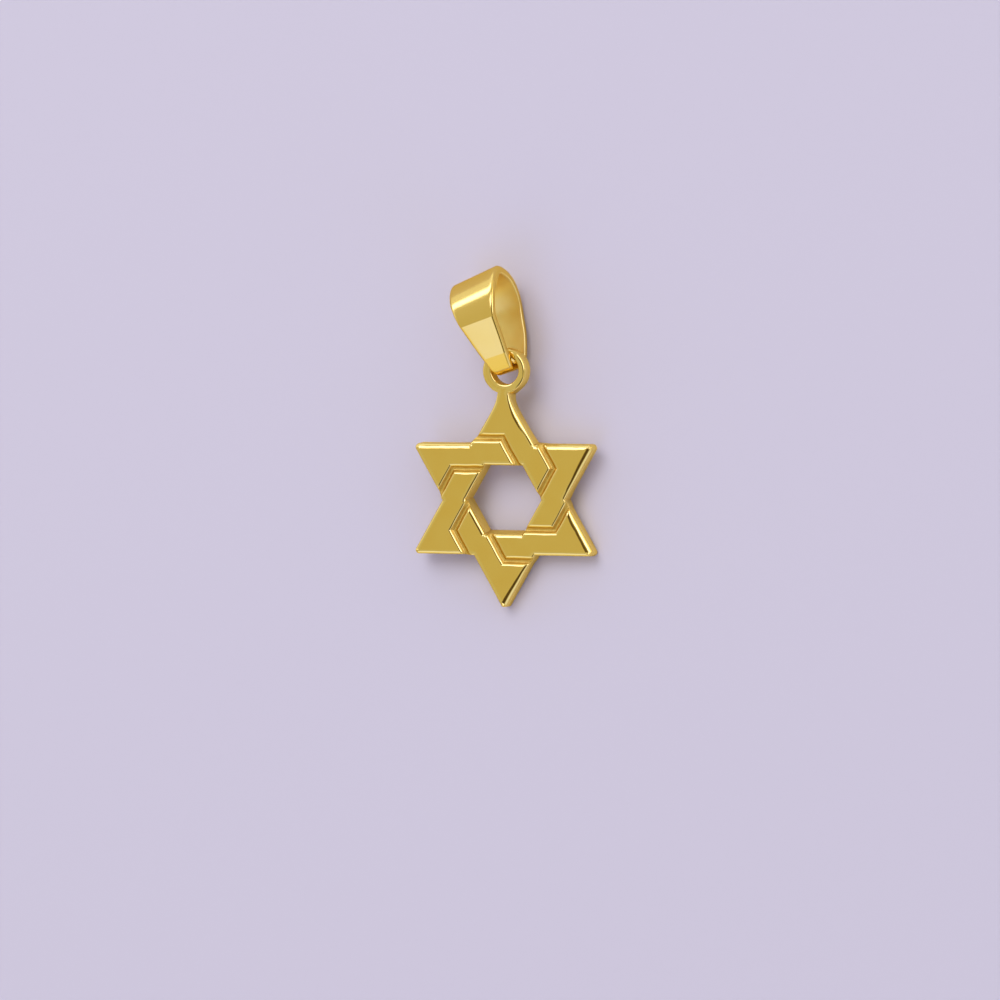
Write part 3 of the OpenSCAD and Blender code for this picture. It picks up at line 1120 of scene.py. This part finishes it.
    def build(self, pose: "RestPose", seat: "BailSeat") -> bpy.types.Object:
        """Builds the strap loop.

        Args:
            pose: Where the pendant lies.
            seat: How the bail hangs in the eye.

        Returns:
            The finished piece.
        """
        milled_lit_share = 0.7
        milled_lit_from = self.strap - self.inner_roll * milled_lit_share
        outside = self.trace(0.0, self.fillet, self.fillet)
        inside = self.trace(self.strap, self.inner_fillet, self.inner_belly)
        section = self.section()
        rows = []
        for outer, inner in zip(outside, inside):
            # How much of the crown's own form the strap has here, eased in
            top = max(0.0, min(1.0, (outer[1] - self.crown_foot) / self.crown_rise))
            top = top * top * (3 - 2 * top)
            below = math.exp(-((outer[1] - self.shift_height) / self.shift_span) ** 2)
            shift = self.back_shift * min(1.0, max(0.0, -outer[0])) * below
            for share, inward, depth in section:
                here = outer + (inner - outer) * depth / self.strap * (1 + self.crown_thick * top ** 2)
                x = share * (self.half_width(here[1]) - (self.edge_roll if inward is None else inward))
                if share < 0:
                    x *= 1 + self.crown_flare * top
                x += shift
                askew = max(0.0, here[1] / self.height - self.skew_from) / (1 - self.skew_from)
                rows.append((x, here[1] + self.skew * x * askew, here[0] - self.crown_back * top))
        count, across = len(outside), len(section)
        faces, surfaces = [], []
        for i in range(count):
            here, after = i * across, (i + 1) % count * across
            for j in range(across):
                beside = (j + 1) % across
                faces.append([here + j, here + beside, after + beside, after + j])
                # The inside of the strap takes the lighter tint of painted light
                milled_lit = max(section[j][2], section[beside][2]) > milled_lit_from
                surfaces.append((StrapSurface.MILLED_PAINTED_LIGHT if milled_lit else StrapSurface.ROLLED).value)
        return mesh_object("bail_strap", pose.place(seat.place(np.array(rows))), faces, surfaces, None,
                           [ROLLED_STRAP, MILLED_INSIDE_PAINTED_LIGHT])


@dataclass
class BailSeat:
    """How the bail hangs in the eye: its foot's place in the star's frame and its three angles."""
    foot: tuple[float, float, float] = (0.26, 9.272, -0.605)
    lean: float = 18.2
    roll: float = 6.6
    pitch: float = 3.1

    def place(self, points: np.ndarray) -> np.ndarray:
        """Moves points from the bail's axes into the star's frame.

        Args:
            points: Points in millimetres, one a row.

        Returns:
            The moved points.
        """
        lean, roll, pitch = (Matrix.Rotation(math.radians(turn), 3, axis) for turn, axis in
                             ((self.lean, "Z"), (-self.roll, "Y"), (self.pitch, "X")))
        return points @ np.array(lean @ roll @ pitch).T + np.array(self.foot)


@dataclass
class RestPose:
    """How the star lies: tilted about two of its tips until the bail's back touches the surface too."""
    tilt: float = 6.23791
    hinge: float = 6.88375
    thickness: float = 1.28
    centre: tuple[float, float] = (0.0551486, 4.4132492)

    @property
    def spin(self) -> np.ndarray:
        """Rotation from the star's frame to the world."""
        return np.array(Matrix.Rotation(math.radians(self.tilt), 3, Vector((COS30, SIN30, 0))))

    def turn(self, vectors: np.ndarray) -> np.ndarray:
        """Turns directions from the star's frame to the world."""
        return vectors @ self.spin.T

    def place(self, points: np.ndarray) -> np.ndarray:
        """Moves points from the star's frame to the world.

        Args:
            points: Points in millimetres, one a row.

        Returns:
            The moved points.
        """
        pivot = np.array([self.hinge * SIN30, -self.hinge * COS30, 0])
        lifted = points - pivot + (0, 0, self.thickness)
        return self.turn(lifted) + pivot - (self.centre[0], self.centre[1], 0)


# Studio

def direction(azimuth: float, elevation: float) -> Vector:
    """Unit vector at an azimuth from +X towards +Y and an elevation, both in degrees."""
    a, e = math.radians(azimuth), math.radians(elevation)
    return Vector((math.cos(a) * math.cos(e), math.sin(a) * math.cos(e), math.sin(e)))


@dataclass(frozen=True)
class SoftBox:
    """A light panel; the ones that the gold mirrors are cool, so its highlights come out pale."""
    name: str
    azimuth: float
    elevation: float
    distance: float
    width: float
    height: float
    power: float
    tone: str = "ffffff"
    mirrored: bool = True

    def build(self, target: Vector) -> None:
        """Hangs the panel round the pendant.

        Args:
            target: Point that it faces.
        """
        back = direction(self.azimuth, self.elevation)
        light = bpy.data.lights.new(self.name, "AREA")
        light.shape = "RECTANGLE"
        light.size, light.size_y = self.width, self.height
        light.energy = self.power
        light.color = linear(self.tone)[:3]
        obj = bpy.data.objects.new(self.name, light)
        obj.location = target + back * self.distance
        obj.rotation_euler = back.to_track_quat("Z", "Y").to_euler()
        # A panel that the gold mirrors leaves the floor alone, and the floor's light isn't mirrored
        obj.visible_glossy = self.mirrored
        obj.visible_diffuse = not self.mirrored
        bpy.context.scene.collection.objects.link(obj)


@dataclass(frozen=True)
class TentPatch:
    """A patch of the white tent, lighter or darker than the rest; its two radii are in degrees."""
    azimuth: float
    elevation: float
    inner: float
    outer: float
    tone: str
    strength: float

    def colour(self) -> tuple[float, float, float, float]:
        """Linear colour of the patch, with its strength worked in."""
        tint = linear(self.tone)
        return (tint[0] * self.strength, tint[1] * self.strength, tint[2] * self.strength, 1.0)


@dataclass
class Studio:
    """Pale floor, soft light and the camera at the photograph's angle."""
    scale_px: float = 13657.0
    distance: float = 0.5
    sensor: float = 36.0
    frame_px: float = 1000.0
    star_px: tuple[float, float] = (502.94, 499.56)
    right: tuple[float, float, float] = (0.9262, 0.0301, -0.3757)
    up: tuple[float, float, float] = (-0.015, 0.999, 0.0423)
    clip: tuple[float, float] = (0.01, 10)
    floor_tint: str = "d6cfdd"
    floor_roughness: float = 0.9
    floor_gloss: float = 0.1
    floor_size: float = 3.0
    light_target: tuple[float, float, float] = (0, 0, 0.002)

    def camera(self, star_centre: np.ndarray) -> None:
        """Makes the scene's camera, which looks straight at the middle of the photograph's frame.

        Args:
            star_centre: Centre of the star's face, in metres.
        """
        right = Vector(self.right).normalized()
        up = (Vector(self.up) - right * right.dot(Vector(self.up))).normalized()
        back = right.cross(up)
        half = self.frame_px / 2
        aim = (Vector(star_centre) - right * ((self.star_px[0] - half) / self.scale_px)
               + up * ((self.star_px[1] - half) / self.scale_px))
        data = bpy.data.cameras.new("camera")
        data.sensor_width = self.sensor
        data.lens = self.sensor * self.distance * self.scale_px / self.frame_px
        data.clip_start, data.clip_end = self.clip
        obj = bpy.data.objects.new("camera", data)
        spin = Matrix((right, up, back)).transposed().to_4x4()
        obj.matrix_world = Matrix.Translation(aim + back * self.distance) @ spin
        bpy.context.scene.collection.objects.link(obj)
        bpy.context.scene.camera = obj

    def floor(self) -> None:
        """Lays a plain pale sheet under the pendant."""
        mesh = bpy.data.meshes.new("floor")
        half = self.floor_size / 2
        corners = [(x * half, y * half, 0) for x, y in ((-1, -1), (1, -1), (1, 1), (-1, 1))]
        mesh.from_pydata(corners, [], [(0, 1, 2, 3)])
        obj = bpy.data.objects.new("floor", mesh)
        bpy.context.scene.collection.objects.link(obj)
        mat = bpy.data.materials.new("matt paper")
        mat.use_nodes = True
        shader = mat.node_tree.nodes["Principled BSDF"]
        shader.inputs["Base Color"].default_value = linear(self.floor_tint)
        shader.inputs["Roughness"].default_value = self.floor_roughness
        shader.inputs["Specular IOR Level"].default_value = self.floor_gloss
        mesh.materials.append(mat)

    def world(self) -> None:
        """Puts up the white tent whose even tone the flat face mirrors, with its patches."""
        # Azimuth and elevation, radius where the patch is full and where it ends, tone and strength
        patches = (
            # Walls and seams of the tent that are lighter than its roof
            TentPatch(-104, 12, 18, 30, "fffdf0", 0.92),
            TentPatch(-107, 46, 12, 17, "b4beff", 2.1),
            TentPatch(165, 8, 14, 34, "d0d6ff", 1.4),
            TentPatch(110, 6, 18, 36, "d0d6ff", 1.6),
            TentPatch(40, 2, 16, 34, "fff6e4", 1.25),
            TentPatch(-42, 8, 12, 23, "b8c2ff", 1.8),
            # Openings for the camera and its stands, which give the dark lines beside the highlights
            TentPatch(-10, 67, 8, 15, "8c7a60", 0.42),
            TentPatch(24, 71, 9, 16, "8c7a60", 0.45),
            TentPatch(-54, 47, 12, 19, "8c7a60", 0.34),
        )
        world = bpy.data.worlds.new("white tent")
        bpy.context.scene.world = world
        world.use_nodes = True
        tree = world.node_tree
        tree.nodes.clear()
        way = add_node(tree, "ShaderNodeTexCoord").outputs["Generated"]
        roof = TentPatch(0, 90, 0, 0, "fffdfa", 0.61).colour()
        tone = None
        for patch in patches:
            near = add_node(tree, "ShaderNodeVectorMath",
                            {"operation": "DOT_PRODUCT", "in:1": direction(patch.azimuth, patch.elevation)},
                            {0: way})
            share = add_node(tree, "ShaderNodeMapRange",
                             {"interpolation_type": "SMOOTHSTEP",
                              "in:From Min": math.cos(math.radians(patch.outer)),
                              "in:From Max": math.cos(math.radians(patch.inner))},
                             {"Value": near.outputs["Value"]})
            links = {"Factor": share.outputs["Result"]}
            if tone:
                links[6] = tone
            tone = add_node(tree, "ShaderNodeMix",
                            {"data_type": "RGBA", "in:6": roof, "in:7": patch.colour()}, links).outputs[2]
        shade = add_node(tree, "ShaderNodeBackground", {}, {"Color": tone})
        add_node(tree, "ShaderNodeOutputWorld", {}, {"Surface": shade.outputs["Background"]})

    def lights(self) -> None:
        """Hangs the soft boxes."""
        # Azimuth and elevation, distance, width and height in metres, watts and tone
        for box in (
            SoftBox("far soft box", 124, 59, 0.9, 0.48, 0.44, 2.8, "aab0ff"),
            SoftBox("far strip", 138, 21.5, 0.9, 0.48, 0.17, 1.15, "b8bcff"),
            SoftBox("right soft box", 30, 36, 0.9, 0.80, 0.40, 4.3, "aab0ff"),
            SoftBox("floor light", 112, 58, 1.0, 0.70, 0.70, 4.2, "ffffff", mirrored=False),
        ):
            box.build(Vector(self.light_target))

    def build(self, star_centre: np.ndarray) -> None:
        """Makes everything round the pendant.

        Args:
            star_centre: Centre of the star's face, in metres.
        """
        self.camera(star_centre)
        self.floor()
        self.world()
        self.lights()
        view = bpy.context.scene.view_settings
        view.view_transform = "Standard"
        view.look = "None"


def main() -> None:
    """Builds the pendant and its studio, and reports each piece."""
    logging.basicConfig(level=logging.INFO, format="%(name)s: %(message)s")
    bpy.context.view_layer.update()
    pose = RestPose()
    Studio().build(pose.place(np.zeros((1, 3)))[0] * MM)
    pieces = (
        (StarPlate().build(pose), "star", "star_gold"),
        (Bail().build(pose, BailSeat()), "bail", "bail_gold"),
    )
    for piece, node, slot in pieces:
        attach(piece, "root")
        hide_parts(node)
        LOG.info("%s: %d faces, stands for %s", piece.name, len(piece.data.polygons), node)


if __name__ == "__main__":
    main()
